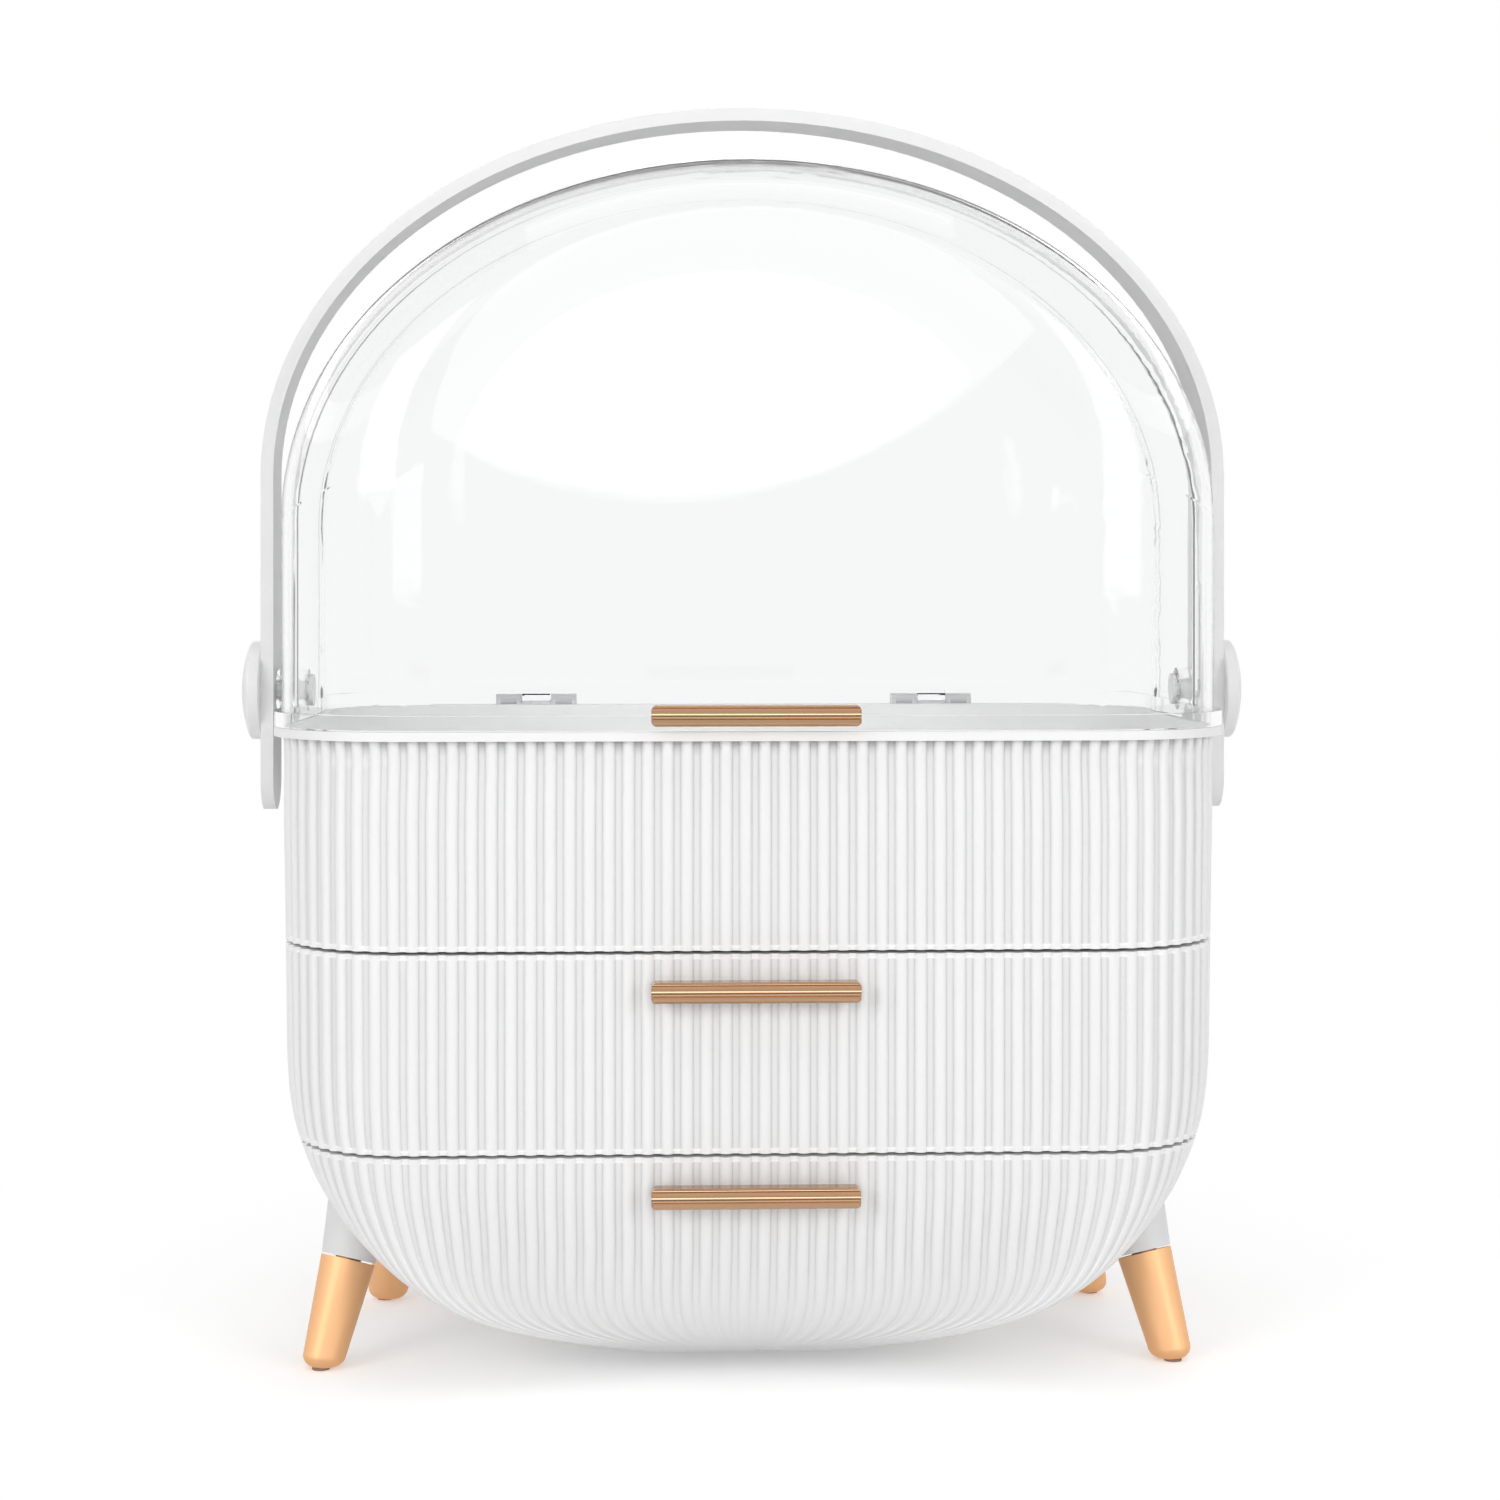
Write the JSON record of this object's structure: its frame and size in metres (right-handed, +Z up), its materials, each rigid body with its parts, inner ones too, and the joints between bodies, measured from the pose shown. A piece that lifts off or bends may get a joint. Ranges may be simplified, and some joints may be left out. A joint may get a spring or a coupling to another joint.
{
  "type": "makeup organizer",
  "caption": "Reeded egg-shaped makeup organizer with drawers under an open bin, a clear hinged dome lid, an arched carry handle on side pivots and splayed legs.",
  "frame": {"origin": "on the floor, under the middle of the object's overall size", "axes": "+Z up, -Y to the front where the drawers open, +X to the right seen from behind the front"},
  "size_m": [0.322, 0.1952, 0.3926],
  "materials": {
    "reeded_white": "satin gloss, reeded",
    "tray_white": "satin",
    "leg_white": "satin gloss",
    "handle_white": "satin gloss",
    "clear_lid": "clear, polished plastic",
    "pull_gold": "rose gold, satin plated",
    "tip_gold": "gold, satin plated",
    "pad_rubber": "matt",
    "steel": "plain"
  },
  "bodies": {
    "cabinet": {"cabinet_shell": "reeded_white", "top_bin": "reeded_white", "drawer_shelf": "tray_white", "leg_sleeve_front_left": "leg_white", "leg_sleeve_front_right": "leg_white", "leg_sleeve_rear_left": "leg_white", "leg_sleeve_rear_right": "leg_white", "leg_tip_front_left": "tip_gold", "leg_tip_front_right": "tip_gold", "leg_tip_rear_left": "tip_gold", "leg_tip_rear_right": "tip_gold", "foot_pad_front_left": "pad_rubber", "foot_pad_front_right": "pad_rubber", "foot_pad_rear_left": "pad_rubber", "foot_pad_rear_right": "pad_rubber", "leg_screws": "steel", "bin_screws": "steel", "hinge_pin_left": "steel", "hinge_pin_right": "steel"},
    "lid": {"lid_shell": "clear_lid", "lid_pull": "pull_gold", "pivot_stud_left": "handle_white", "pivot_stud_right": "handle_white"},
    "handle": {"handle_band": "handle_white", "pivot_cap_left": "handle_white", "pivot_cap_right": "handle_white"},
    "mid_drawer": {"mid_front": "reeded_white", "mid_tray": "tray_white", "mid_pull": "pull_gold", "mid_pull_screws": "steel"},
    "low_drawer": {"low_front": "reeded_white", "low_tray": "tray_white", "low_pull": "pull_gold", "low_pull_screws": "steel"}
  },
  "joints": [
    {"name": "lid_hinge", "type": "hinge", "parent": "cabinet", "child": "lid", "pos_m": [0, 0.0947, 0.1977], "axis": [-1, 0, 0], "range_deg": [0, 105]},
    {"name": "handle_pivot", "type": "hinge", "parent": "lid", "child": "handle", "pos_m": [0, 0, 0.2065], "axis": [1, 0, 0], "range_deg": [-75, 75]},
    {"name": "mid_slide", "type": "slide", "parent": "cabinet", "child": "mid_drawer", "axis": [0, -1, 0], "range_m": [0, 0.105]},
    {"name": "low_slide", "type": "slide", "parent": "cabinet", "child": "low_drawer", "axis": [0, -1, 0], "range_m": [0, 0.078]}
  ]
}
